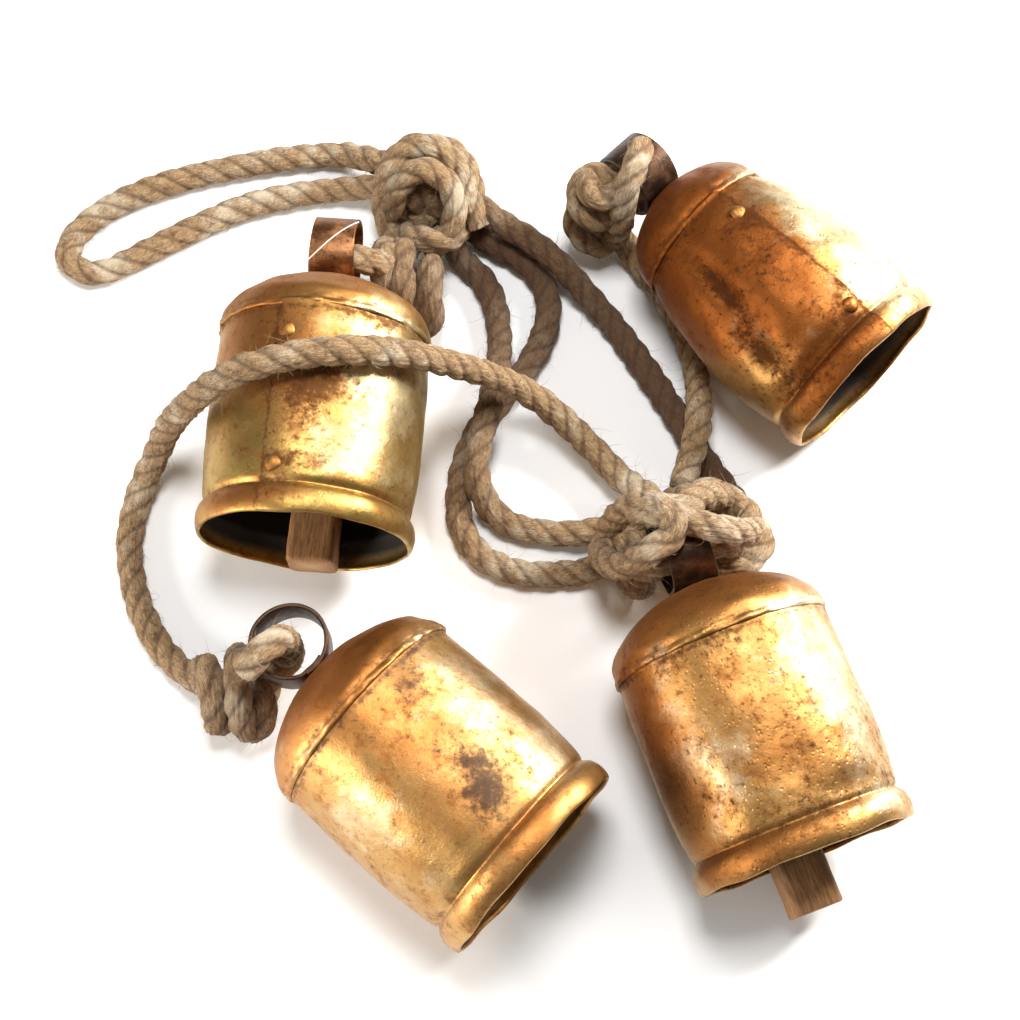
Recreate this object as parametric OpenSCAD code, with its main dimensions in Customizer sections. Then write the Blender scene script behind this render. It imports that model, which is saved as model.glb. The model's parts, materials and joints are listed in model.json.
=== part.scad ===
// Four sheet-metal cow bells with wooden clappers, tied to the ends of a jute rope.
// The string of bells lies loose on a flat surface, which is the plane z = 0.
// Origin: the middle of the whole string's footprint, on the surface it lies on.
// Each bell has its own frame: origin at the middle of its mouth, +Z towards its crown,
// +X up from the surface and +Y to its left when looking from the crown to the mouth.

/* [Rope] */
// Diameter of the three-strand jute rope
rope_d = 10; // [8:0.5:10]

/* [Bell sheet] */
// Thickness of the bell's sheet metal
sheet_t = 1.2; // [0.8:0.1:1.5]
// Height of the flared band at the mouth
band_h = 10.5; // [9:0.5:12]
// How far the band bulges
band_bulge = 1.4; // [0.6:0.1:1.6]
// Height of the crown cap's turned lip
lip_h = 2.4; // [2:0.1:3]
// Width of the shell's lap seam, in degrees round the bell
lap_deg = 20; // [12:1:26]

/* [Hanger] */
// Outer diameter of the hanger loop
hanger_d = 27; // [26:0.5:27]
// Width of the hanger strip
hanger_w = 17; // [14:1:17]
// Thickness of the hanger strip
hanger_t = 1.5; // [1:0.1:1.8]

/* [Clapper] */
// Diameter of the staple and link wire
wire_d = 3; // [2.5:0.1:3]
// Radial clearance of the wire in its eye and in the clapper's hole
wire_fit = 0.08; // [0.03:0.01:0.1]
// Distance between the link's two side wires
link_w = 25; // [24:0.5:27]
// How far the wood reaches past its hole on the crown side
wood_head = 5.5; // [4:0.5:5.5]

/* [Hidden] */
$fn = 96;
BELLS = [1, 2, 3, 4];
BELL_PARTS = ["shell", "crown", "hanger", "rivets", "staple", "link", "clapper"];
ROPE_PARTS = ["hanging_loop", "main_knot", "lead_1", "inner_lead", "outer_lead", "lead_4",
              "front_strand", "right_strand"];

brass = "goldenrod";
copper = "peru";
iron = "dimgray";
wood = "sienna";
jute = "tan";
rope_r = rope_d / 2;
wire_r = wire_d / 2;

// Wide bells (1, 3 and 4) and the narrow-shouldered bell (2). Radii and heights from the mouth.
WIDE = [["mouth_r", 37.2], ["groove_r", 36.4], ["belly_r", 38.2], ["belly_z", 45], ["top_r", 37.6],
        ["lip_r", 38.8], ["lip_z", 74.4], ["dome_h", 21.6], ["eye_z", 86], ["link_h", 30], ["drop", 24.5],
        ["wood_w", 18], ["wood_pitch", 0]];
SLIM = [["mouth_r", 34], ["groove_r", 34.2], ["belly_r", 36.4], ["belly_z", 34], ["top_r", 27.6],
        ["lip_r", 28.8], ["lip_z", 80], ["dome_h", 20.6], ["eye_z", 91], ["link_h", 26], ["drop", 17],
        ["wood_w", 15], ["wood_pitch", 6.5]];

// Each bell: mouth centre x and y, heading from crown to mouth, upward tilt of the mouth,
// turn of the hanger's axis from upright, place of the seam from the top, clapper tip's height
PLACES = [[-60, -19, -94, 0, 90, -12, -2],
          [140.7, 44, -46, 1, 90, 0, 12],
          [20.3, -129.3, -41.4, 0, 0, 130, 7],
          [110.7, -126.7, -69.5, 0, 90, -132, -17]];

function dim(i, name) = let (t = i == 2 ? SLIM : WIDE) t[search([name], t)[0]][1];
function place(i, k) = PLACES[i - 1][k];
function mouth_x(i) = place(i, 0);
function mouth_y(i) = place(i, 1);
function heading(i) = place(i, 2);
function tilt(i) = place(i, 3);
function hanger_turn(i) = place(i, 4);
function seam_turn(i) = place(i, 5);
function tip_z(i) = place(i, 6);

// Height of the mouth's centre, so that the bell's lowest generator touches the surface
function mouth_height(i) = max([for (p = concat(shell_outline(i), [[dim(i, "lip_r"), dim(i, "lip_z")]]))
                                p[1] * sin(tilt(i)) + p[0] * cos(tilt(i))]);
// Height above the mouth of the crown's apex and of the hanger's centre
function apex_z(i) = dim(i, "lip_z") + lip_h + dim(i, "dome_h");
hanger_sink = 1;
function hanger_z(i) = apex_z(i) - hanger_sink + hanger_d / 2;

// ---- bell sheet ----

band_steps = 7;
body_steps = 8;
dome_steps = 10;
shell_tuck = 5;

function band_r(i, z) = dim(i, "mouth_r") + (dim(i, "groove_r") - dim(i, "mouth_r")) * z / band_h
                        + band_bulge * sin(180 * z / band_h);
function body_r(i, z) =
    let (low = z < dim(i, "belly_z"),
         from = low ? dim(i, "groove_r") : dim(i, "belly_r"),
         to = low ? dim(i, "belly_r") : dim(i, "top_r"),
         z0 = low ? band_h : dim(i, "belly_z"),
         z1 = low ? dim(i, "belly_z") : dim(i, "lip_z"),
         s = min(1, (z - z0) / (z1 - z0)))
    low ? from + (to - from) * (1 - pow(1 - s, 3)) : from + (to - from) * s * s;
function shell_outline(i) =
    let (top = dim(i, "lip_z") + shell_tuck)
    concat([for (k = [0 : band_steps]) let (z = band_h * k / band_steps) [band_r(i, z), z]],
           [for (k = [1 : body_steps]) let (z = band_h + (top - band_h) * k / body_steps)
               [body_r(i, z), z]]);
function inset(points, d) = [for (k = [len(points) - 1 : -1 : 0]) [points[k][0] - d, points[k][1]]];

// Quarter ellipse from the edge of the cap to its apex, and the way back
function dome(r, h, z) =
    [for (k = [0 : dome_steps]) let (a = 90 * k / dome_steps) [r * cos(a), z + h * sin(a)]];
function dome_back(r, h, z) =
    [for (k = [dome_steps : -1 : 0]) let (a = 90 * k / dome_steps) [r * cos(a), z + h * sin(a)]];

module bell_shell(i) {
    skin = shell_outline(i);
    lap = [for (p = skin) if (p[1] < dim(i, "lip_z") - 1) p];
    color(brass) in_place(i) rotate([0, 0, seam_turn(i)]) {
        rotate([0, 0, 180]) rotate_extrude() polygon(concat(skin, inset(skin, sheet_t)));
        rotate([0, 0, -lap_deg / 2])
            rotate_extrude(angle = lap_deg)
                polygon(concat([for (p = lap) [p[0] + sheet_t, p[1]]], inset(lap, sheet_t / 2)));
    }
}

module bell_crown(i) {
    lip_r = dim(i, "lip_r");
    lip_z = dim(i, "lip_z");
    side_r = lip_r - sheet_t / 2;
    base_z = lip_z + lip_h;
    color(copper) in_place(i)
        difference() {
            rotate_extrude()
                polygon(concat([[side_r - sheet_t, lip_z], [lip_r, lip_z], [lip_r, lip_z + lip_h / 2]],
                               dome(side_r, dim(i, "dome_h"), base_z),
                               dome_back(side_r - sheet_t, dim(i, "dome_h") - sheet_t, base_z)));
            cylinder(r = wire_r, h = 2 * apex_z(i));
        }
}

module bell_hanger(i) {
    color(iron) in_place(i) hanger_frame(i)
        difference() {
            cylinder(d = hanger_d, h = hanger_w, center = true);
            cylinder(d = hanger_d - 2 * hanger_t, h = hanger_w + 1, center = true);
            rotate([0, 90, 0]) cylinder(r = wire_r, h = hanger_d);
        }
}

// ---- seam rivets ----

rivet_r = 1.8;
rivet_head_r = 3;
rivet_head_h = 1.4;
low_rivet_z = 16.5;
// Height of the upper rivet as a share of the lip's height
high_rivet = 0.86;

module bell_rivets(i) {
    color(copper) in_place(i)
        for (z = [low_rivet_z, dim(i, "lip_z") * high_rivet])
            let (r = body_r(i, z))
            translate([0, 0, z]) rotate([0, 0, seam_turn(i)]) rotate([0, 90, 0]) {
                translate([0, 0, r - 2 * sheet_t]) cylinder(r = rivet_r, h = 3 * sheet_t);
                translate([0, 0, r + sheet_t])
                    cylinder(r1 = rivet_head_r, r2 = rivet_r, h = rivet_head_h);
                translate([0, 0, r - sheet_t - rivet_head_h / 2])
                    cylinder(r = rivet_head_r, h = rivet_head_h / 2);
            }
}

// ---- staple, link and clapper ----

eye_r = 4.5;
eye_w = 5;
staple_head_r = 4;
staple_head_h = 1.6;

module bell_staple(i) {
    eye_z = dim(i, "eye_z");
    color(iron) in_place(i)
        difference() {
            union() {
                translate([0, 0, eye_z]) rotate([90, 0, 0])
                    cylinder(r = eye_r, h = eye_w, center = true);
                translate([0, 0, eye_z]) cylinder(r = wire_r, h = apex_z(i) + 1 - eye_z);
                translate([0, 0, apex_z(i) - hanger_sink + hanger_t])
                    cylinder(r = staple_head_r, h = staple_head_h);
            }
            translate([0, 0, eye_z]) rotate([90, 0, 0])
                cylinder(r = wire_r + wire_fit, h = 2 * eye_w, center = true);
        }
}

// Swing of the link from the bell's axis when the clapper lies on the lower wall
function link_swing(i) = asin(dim(i, "drop") / dim(i, "link_h"));
function clapper_z(i) = dim(i, "eye_z") - dim(i, "link_h") * cos(link_swing(i));

module wire(length) {
    cylinder(r = wire_r, h = length, center = true);
}

module bell_link(i) {
    long = dim(i, "link_h");
    color(iron) in_place(i) translate([0, 0, dim(i, "eye_z")]) rotate([0, link_swing(i), 0])
        translate([0, 0, -long / 2]) {
            for (end = [-1, 1]) {
                translate([0, 0, end * long / 2]) rotate([90, 0, 0]) wire(link_w);
                translate([0, end * link_w / 2, 0]) {
                    wire(long);
                    for (corner = [-1, 1])
                        translate([0, 0, corner * long / 2]) sphere(r = wire_r);
                }
            }
        }
}

module bell_clapper(i) {
    w = dim(i, "wood_w");
    below = clapper_z(i) - tip_z(i);
    color(wood) in_place(i) translate([-dim(i, "drop"), 0, clapper_z(i)]) rotate([0, dim(i, "wood_pitch"), 0])
        difference() {
            translate([0, 0, -below]) linear_extrude(height = below + wood_head)
                intersection() {
                    square(w, center = true);
                    circle(r = w * 0.64);
                }
            rotate([90, 0, 0]) cylinder(r = wire_r + wire_fit, h = 2 * w, center = true);
        }
}

// ---- bell frames ----

module in_place(i) {
    translate([mouth_x(i), mouth_y(i), mouth_height(i)])
        rotate([0, 0, heading(i)]) rotate([0, -tilt(i) - 90, 0]) children();
}

// The hanger's axis is +Z here, at the middle of its loop, and the bell's crown is towards +X
module hanger_frame(i) {
    translate([0, 0, hanger_z(i)]) rotate([0, 0, hanger_turn(i)]) rotate([0, 90, 0]) children();
}

// ---- knots and cut tails ----

// Stations along each bell's knot: x, y, z and radius. They leave the crown and hanger free to move.
KNOTS = [[[-38, 99, 20, 5], [-36, 97, 20, 10], [-31, 93, 19, 12.5], [-24, 86, 17, 14], [-17, 79.5, 14, 11],
          [-14, 77, 13, 6]],
         [[52.5, 116, 8, 5], [49.5, 116, 9, 7.5], [46, 115.8, 12, 9.6], [44.6, 115.6, 20, 10.4],
          [44.2, 115.6, 30, 10.4], [44.4, 115.6, 38, 10.2], [45, 115.2, 43, 8.5], [45.5, 115, 46, 5]],
         [[-99, -63, 14, 6], [-96, -64, 15, 11], [-91, -66, 16, 14.5], [-85, -68.5, 16, 16],
          [-78, -71, 15.5, 14], [-73, -73, 14.5, 8]],
         [[108, -13, 15, 7], [103, -11, 16, 13], [94, -8.5, 16.5, 16.5], [84, -5, 15.3, 15],
          [74, -5.5, 15, 14], [66, -9, 14, 12.5], [57, -17, 13, 12.5], [52, -22, 12.5, 9],
          [50, -24, 12, 5]]];
// Route of each cut tail, from its knot through the hanger
TAILS = [[[-33, 93, 25], [-37, 91, 33], [-44, 90, 38.5], [-52, 90.3, 38.8], [-59, 90.8, 38.8]],
         [[47, 115.5, 33], [51, 119.5, 34], [56, 124.5, 35], [61, 129, 35.5], [65.5, 133.5, 36], [68.5, 136.5, 36.5]],
         [[-79, -66, 11], [-71, -60, 15], [-66, -56, 22], [-65, -55, 32], [-65, -55, 44], [-67, -58, 54],
          [-72, -63, 55.5], [-77, -68, 52]],
         [[92, -15, 22], [90, -17, 31], [84, -19, 38], [72, -23.3, 38.8], [62, -27, 37], [57, -25, 28]]];

module knot(i) {
    color(jute) tube(KNOTS[i - 1], knot_sides);
}

module tail(i) {
    color(jute) cord(TAILS[i - 1]);
}

// ---- rope ----

cord_sides = 10;
knot_sides = 18;
MAIN_KNOT = [[-44, 130, 17, 6], [-41, 130, 18, 13], [-34, 129.5, 19.5, 18], [-24, 129, 20, 20],
             [-14, 128, 20, 19.5], [-6, 127, 18.5, 16], [-1, 126, 17, 10], [1, 126, 16.5, 5]];

// Unit vector, the place of a station, and the direction of a route at station k
function unit(v) = v / norm(v);
function spot(station) = [station[0], station[1], station[2]];
function along(route, k) = unit(spot(route[min(k + 1, len(route) - 1)]) - spot(route[max(k - 1, 0)]));
// Cross direction at station k, carried along from the start so that the tube does not twist
function across(route, k) =
    let (t = along(route, k),
         was = k == 0 ? (abs(t[2]) > 0.9 ? [1, 0, 0] : [0, 0, 1]) : across(route, k - 1))
    unit(was - (was * t) * t);

// A round tube through stations of x, y, z and radius, as one closed polyhedron
module tube(route, sides) {
    n = len(route);
    rings = [for (k = [0 : n - 1])
                let (t = along(route, k), u = across(route, k), w = cross(t, u))
                for (s = [0 : sides - 1])
                    let (a = 360 * s / sides) spot(route[k]) + route[k][3] * (cos(a) * u + sin(a) * w)];
    walls = [for (k = [0 : n - 2]) for (s = [0 : sides - 1])
                let (a = k * sides + s, b = k * sides + (s + 1) % sides)
                for (f = [[a, b + sides, b], [a, a + sides, b + sides]]) f];
    ends = [[for (s = [0 : sides - 1]) s], [for (s = [sides - 1 : -1 : 0]) (n - 1) * sides + s]];
    polyhedron(points = rings, faces = concat(walls, ends));
}

module cord(route) {
    tube([for (p = route) concat(p, rope_r)], cord_sides);
}

LOOP = [[-36, 143, 14], [-50, 150, 8], [-62, 152, 5], [-80, 150, 5], [-100, 146, 5], [-119, 141, 5],
        [-137, 134, 5], [-150, 126, 5], [-159, 116, 5], [-161, 107, 5], [-154, 101, 5], [-144, 102, 5],
        [-126, 112, 5], [-110, 121, 5], [-93, 129, 5], [-75, 134, 5], [-57, 136, 6], [-37, 134, 13]];
LEAD_1 = [[-24, 114, 13], [-27, 105, 16], [-30, 100, 18]];
INNER_LEAD = [[-13, 113, 11], [-6, 105, 5], [1, 98, 5], [6, 87, 5], [8, 74, 5], [8, 64, 9], [7, 54, 14],
              [5, 43, 15.8], [2, 32, 15.8], [0, 22, 15.4], [0, 12, 13], [5, 3, 8], [14, -3, 5],
              [31, -6, 6], [48, -6, 11], [60, -6, 13]];
OUTER_LEAD = [[-6, 120, 8], [6, 112, 5], [15, 107, 5], [23, 99, 5], [27, 88, 5], [25, 74, 5], [18, 60, 5],
              [8, 46, 5], [-2, 31, 5], [-7, 13, 5], [-6, -3, 5], [2, -15, 5], [17, -21, 5], [34, -21, 5],
              [48, -19, 9]];
LEAD_4 = [[-6, 127, 18], [8, 117, 16], [20, 109, 16], [31, 100, 14], [41, 91, 8], [53, 77, 5], [64, 60, 5],
          [73, 45, 5], [84, 25, 5], [94, 9, 7], [96, 4, 10]];
FRONT_STRAND = [[66, 0, 22], [62, 5, 19], [54, 13, 12], [44, 24, 12], [32, 35, 16], [20, 42, 24],
                [8, 44, 35], [-4, 43, 48], [-14, 41, 60], [-24, 39, 71], [-38, 36, 81], [-56, 33, 85],
                [-74, 30, 81.4], [-89, 27, 71.5], [-98, 26, 59], [-105, 27, 45], [-112, 26, 31],
                [-118, 22, 18], [-124, 14, 9], [-128, 3, 5], [-129, -12, 5], [-125, -30, 5],
                [-117, -46, 5], [-107, -57, 7], [-96, -64, 12]];
RIGHT_STRAND = [[75, 8, 20], [77, 15, 17.5], [80, 24, 16], [82, 34, 15.9], [83, 44, 13], [83, 58, 7],
                [79, 75, 5], [70, 93, 5], [60, 108, 5], [54, 117, 8]];

module main_knot() { color(jute) tube(MAIN_KNOT, knot_sides); }

module hanging_loop() { color(jute) cord(LOOP); }
module lead_1() { color(jute) cord(LEAD_1); }
module inner_lead() { color(jute) cord(INNER_LEAD); }
module outer_lead() { color(jute) cord(OUTER_LEAD); }
module lead_4() { color(jute) cord(LEAD_4); }
module front_strand() { color(jute) cord(FRONT_STRAND); }
module right_strand() { color(jute) cord(RIGHT_STRAND); }

for (i = BELLS) {
    bell_shell(i);
    bell_crown(i);
    bell_hanger(i);
    bell_rivets(i);
    bell_staple(i);
    bell_link(i);
    bell_clapper(i);
    knot(i);
    tail(i);
}
hanging_loop();
main_knot();
lead_1();
inner_lead();
outer_lead();
lead_4();
front_strand();
right_strand();
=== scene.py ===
"""Four sheet-metal cow bells on a knotted jute rope, lying on a pale floor.

Lengths are in millimetres in the tables and routes, and become metres when a mesh is made.
The bells' places and the rope's routes repeat those of part.scad.
"""
import json
import math

import bpy
import numpy as np
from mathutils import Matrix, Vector


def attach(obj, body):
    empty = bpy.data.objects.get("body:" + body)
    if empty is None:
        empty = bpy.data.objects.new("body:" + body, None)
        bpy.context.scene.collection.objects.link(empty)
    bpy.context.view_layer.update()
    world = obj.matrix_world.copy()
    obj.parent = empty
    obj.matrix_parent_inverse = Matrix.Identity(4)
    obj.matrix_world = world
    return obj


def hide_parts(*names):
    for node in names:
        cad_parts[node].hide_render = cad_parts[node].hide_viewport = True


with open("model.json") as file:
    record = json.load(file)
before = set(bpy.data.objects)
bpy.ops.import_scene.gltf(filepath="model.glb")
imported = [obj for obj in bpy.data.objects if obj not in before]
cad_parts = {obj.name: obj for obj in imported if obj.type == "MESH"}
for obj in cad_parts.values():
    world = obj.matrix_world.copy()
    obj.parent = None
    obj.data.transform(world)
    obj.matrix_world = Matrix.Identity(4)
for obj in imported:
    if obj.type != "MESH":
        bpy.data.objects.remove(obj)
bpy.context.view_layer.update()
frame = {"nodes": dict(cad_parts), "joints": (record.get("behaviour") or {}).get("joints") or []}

MM = 0.001
TAU = 2 * math.pi


# ---- camera, floor and lights ----

LOOK_AT = np.array([12.0, 5.0, 0.0])
CAMERA_DISTANCE = 617.4
CAMERA_ELEVATION = math.radians(72.75)
CAMERA_LENS = 57.9
CAMERA_SENSOR = 36

# Where the lights point, and each light's name, place, sides, watts and colour
LIT_POINT = Vector((12.0, 0.0, 30.0))
LIGHTS = [("key", (520, 330, 420), (240, 240), 11.0, (1.0, 0.98, 0.94)),
          ("fill", (-560, -300, 260), (300, 240), 4.0, (1.0, 0.96, 0.90)),
          ("overhead", (0, 160, 900), (240, 240), 6.5, (1.0, 1.0, 1.0))]
WORLD_COLOUR = (1.0, 0.98, 0.95, 1)
WORLD_STRENGTH = 0.20
FLOOR_SIZE_M = 3.0


def add_camera():
    back = np.array([0, -math.cos(CAMERA_ELEVATION), math.sin(CAMERA_ELEVATION)])
    data = bpy.data.cameras.new("camera")
    data.lens = CAMERA_LENS
    data.sensor_width = CAMERA_SENSOR
    camera = bpy.data.objects.new("camera", data)
    camera.location = (LOOK_AT + CAMERA_DISTANCE * back) * MM
    camera.rotation_euler = (math.pi / 2 - CAMERA_ELEVATION, 0, 0)
    bpy.context.scene.collection.objects.link(camera)
    bpy.context.scene.camera = camera


def add_light(name, place, size, watts, colour):
    """A rectangular area light that points at the middle of the bells."""
    data = bpy.data.lights.new(name, "AREA")
    data.shape = "RECTANGLE"
    data.size, data.size_y = size[0] * MM, size[1] * MM
    data.energy = watts
    data.color = colour
    light = bpy.data.objects.new(name, data)
    light.location = np.array(place) * MM
    light.rotation_euler = (LIT_POINT - Vector(place)).to_track_quat("-Z", "Y").to_euler()
    bpy.context.scene.collection.objects.link(light)


# ---- materials ----

class Nodes:
    """A material's node tree, with short calls for the nodes used here."""

    def __init__(self, name):
        self.material = bpy.data.materials.new(name)
        self.material.use_nodes = True
        self.tree = self.material.node_tree
        self.shader = self.tree.nodes["Principled BSDF"]
        self.object_co = self.add("ShaderNodeTexCoord").outputs["Object"]

    def add(self, kind, inputs=None, **settings):
        node = self.tree.nodes.new(kind)
        for key, value in settings.items():
            setattr(node, key, value)
        self.put(node, inputs or {})
        return node

    def put(self, node, inputs):
        """Sets inputs, or links those whose value is another node's output."""
        for key, value in inputs.items():
            if isinstance(value, bpy.types.NodeSocket):
                self.tree.links.new(value, node.inputs[key])
            else:
                node.inputs[key].default_value = value

    def attribute(self, name, vector_valued=False):
        node = self.add("ShaderNodeAttribute", attribute_name=name)
        return node.outputs["Vector" if vector_valued else "Fac"]

    def noise(self, scale, detail=4, rough=0.55, co=None, distortion=0.0):
        return self.add("ShaderNodeTexNoise", {
            "Scale": scale, "Detail": detail, "Roughness": rough, "Distortion": distortion,
            "Vector": co or self.object_co}).outputs["Fac"]

    def cells(self, scale):
        inputs = {"Scale": scale, "Vector": self.object_co}
        return self.add("ShaderNodeTexVoronoi", inputs).outputs["Distance"]

    def ramp(self, value, low, high, start=0.0, end=1.0):
        """Maps low..high to start..end, smoothly and clamped."""
        inputs = {"Value": value, "From Min": low, "From Max": high, "To Min": start, "To Max": end}
        return self.add("ShaderNodeMapRange", inputs, interpolation_type="SMOOTHSTEP").outputs["Result"]

    def math(self, operation, a, b):
        """An operation on two values, clamped to 0..1."""
        return self.add("ShaderNodeMath", {0: a, 1: b}, operation=operation, use_clamp=True).outputs["Value"]

    def mix(self, factor, a, b):
        """Mixes two colours, each a triple or another node's output."""
        a, b = (c if isinstance(c, bpy.types.NodeSocket) else (*c, 1) for c in (a, b))
        return self.add("ShaderNodeMix", {"Factor": factor, 6: a, 7: b}, data_type="RGBA").outputs[2]

    def bump(self, height, strength, distance, normal=None):
        inputs = {"Strength": strength, "Distance": distance * MM, "Height": height}
        if normal:
            inputs["Normal"] = normal
        return self.add("ShaderNodeBump", inputs).outputs["Normal"]

    def finish(self, colour, rough, metal, normal=None):
        inputs = {"Base Color": colour, "Roughness": rough, "Metallic": metal}
        if normal:
            inputs["Normal"] = normal
        self.put(self.shader, inputs)
        return self.material


# The near-black painted shade inside a bell, and the rust that shows through the wash
SHADE_BLACK = (0.006, 0.005, 0.004)
RUST = (0.060, 0.022, 0.008)


def washed_iron(name, gold, copper, pale, dirt, pits, grime):
    """Brass- or copper-washed sheet iron: patches of three tones, stains, speckle and pits.

    The mesh's vertices say where it is coppery or stained, where a painted highlight lightens it to the pale
    tone, and where painted shade blackens the inside. Coppery places are browner and more matt.
    """
    n = Nodes(name)
    patch = n.noise(48, 5, 0.62)
    cloud = n.noise(130, 5, 0.7)
    fleck = n.noise(430, 5, 0.75)
    grain = n.noise(1700, 3, 0.6)
    pit = n.cells(520)
    deep = tuple(c * k for c, k in zip(copper, (0.62, 0.50, 0.42)))
    copper_at = n.ramp(n.math("ADD", n.math("MULTIPLY", n.attribute("copper"), 0.6), patch), 0.46, 0.98)
    # Painted highlights: the pale tone where the vertices mark a highlight, and also in random pale patches
    pale_at = n.math("ADD", n.math("MULTIPLY", n.attribute("pale"), 0.55), n.noise(75, 5, 0.65))
    pale_at = n.ramp(pale_at, 0.60, 1.02)
    colour = n.mix(copper_at, gold, copper)
    colour = n.mix(n.ramp(cloud, 0.47, 0.70, 0, 0.75), colour, deep)
    colour = n.mix(pale_at, colour, pale)
    colour = n.mix(n.ramp(n.attribute("copper"), 0.15, 0.9, 0, 0.72), colour, deep)
    speckle = n.math("ADD", n.math("MULTIPLY", fleck, 0.62), n.math("MULTIPLY", cloud, 0.36))
    mottle = n.math("ADD", n.math("MULTIPLY", n.attribute("stain"), 0.20), speckle)
    stain = n.ramp(mottle, 0.52, 0.78, 0, 0.90)
    colour = n.mix(stain, colour, dirt)
    colour = n.mix(n.ramp(fleck, 0.54, 0.70, 0, grime), colour, RUST)
    colour = n.mix(n.ramp(grain, 0.50, 0.72, 0, 0.35), colour, deep)
    # Painted shade: the inside is blackened, made matt and not metallic
    sooty = n.attribute("soot")
    colour = n.mix(sooty, colour, SHADE_BLACK)
    rough = n.math("ADD", n.math("MULTIPLY", cloud, 0.7), n.math("MULTIPLY", stain, 0.4))
    rough = n.ramp(rough, 0.2, 0.8, 0.37, 0.66)
    rough = n.math("ADD", rough, n.math("MULTIPLY", n.attribute("copper"), 0.16))
    rough = n.math("MAXIMUM", rough, n.math("MULTIPLY", sooty, 0.9))
    metal = n.ramp(sooty, 0, 1, 1.0, 0.0)
    normal = n.bump(n.ramp(pit, 0.0, 0.35), pits, 0.30)
    normal = n.bump(fleck, 0.30, 0.4, normal)
    normal = n.bump(grain, 0.22, 0.15, normal)
    return n.finish(colour, rough, metal, normal)


def dark_iron(name, base, wash):
    """Rusty iron strip or wire with some copper wash left on it."""
    n = Nodes(name)
    patch = n.noise(160, 5, 0.65)
    colour = n.mix(n.ramp(patch, 0.40, 0.68), base, wash)
    colour = n.mix(n.ramp(n.noise(800, 3), 0.55, 0.75), colour, RUST)
    normal = n.bump(n.noise(900, 4, 0.7), 0.4, 0.3)
    return n.finish(colour, n.ramp(patch, 0.3, 0.8, 0.35, 0.65), 0.85, normal)


def hardwood(name):
    """Unfinished brown wood: the grain runs along the clapper, and the cut ends are paler."""
    n = Nodes(name)
    along = n.attribute("grain_co", vector_valued=True)
    rings = n.noise(1.1, 5, 0.6, along, 0.4)
    fibre = n.noise(6.0, 4, 0.7, along)
    colour = n.mix(n.ramp(rings, 0.35, 0.65), (0.44, 0.215, 0.075), (0.24, 0.105, 0.036))
    colour = n.mix(n.ramp(fibre, 0.52, 0.72, 0, 0.6), colour, (0.08, 0.033, 0.014))
    colour = n.mix(n.attribute("end_grain"), colour, (0.62, 0.43, 0.22))
    normal = n.bump(fibre, 0.5, 0.4)
    normal = n.bump(n.noise(1300, 3), 0.2, 0.2, normal)
    return n.finish(colour, n.ramp(fibre, 0.3, 0.7, 0.55, 0.8), 0.0, normal)


def jute(name):
    """Three-strand jute: fibres run along the rope, painted shade darkens the grooves and the crowns are
    bleached.
    """
    n = Nodes(name)
    lay = n.attribute("lay_co", vector_valued=True)
    yarn = n.noise(1.6, 3, 0.6, lay)
    fibre = n.noise(6.5, 5, 0.8, lay, 0.8)
    tuft = n.noise(330, 4, 0.7)
    patch = n.noise(60, 4, 0.6)
    colour = n.mix(n.ramp(fibre, 0.36, 0.64), (0.16, 0.075, 0.028), (0.60, 0.415, 0.21))
    colour = n.mix(n.ramp(yarn, 0.45, 0.62, 0, 0.6), colour, (0.27, 0.145, 0.06))
    colour = n.mix(n.ramp(tuft, 0.48, 0.66, 0, 0.70), colour, (0.10, 0.046, 0.018))
    bleached = n.math("ADD", n.math("MULTIPLY", patch, 0.6), n.math("MULTIPLY", fibre, 0.4))
    colour = n.mix(n.ramp(bleached, 0.50, 0.62, 0, 0.85), colour, (0.66, 0.56, 0.40))
    # Painted shade in the grooves between the strands
    colour = n.mix(n.ramp(n.attribute("groove"), 0.0, 0.7, 0.62, 0.0), colour, (0.10, 0.045, 0.017))
    # Painted shade: each stretch of rope is darkened by its shade value
    colour = n.mix(n.attribute("shade"), colour, (0.075, 0.028, 0.009))
    normal = n.bump(fibre, 0.85, 0.7)
    normal = n.bump(yarn, 0.5, 0.8, normal)
    normal = n.bump(tuft, 0.5, 0.6, normal)
    n.put(n.shader, {"Sheen Weight": 0.05, "Sheen Roughness": 0.6})
    return n.finish(colour, 0.92, 0.0, normal)


def pale_floor():
    n = Nodes("floor")
    mottle = n.noise(14, 3)
    colour = n.mix(mottle, (0.93, 0.93, 0.93), (0.95, 0.95, 0.95))
    return n.finish(colour, 0.75, 0.0)


# ---- meshes ----

def quads(index):
    """The faces between the neighbours in a grid of vertex numbers."""
    faces = [index[..., :-1, :-1], index[..., 1:, :-1], index[..., 1:, 1:], index[..., :-1, 1:]]
    return np.stack(faces, -1).reshape(-1, 4).tolist()


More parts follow.
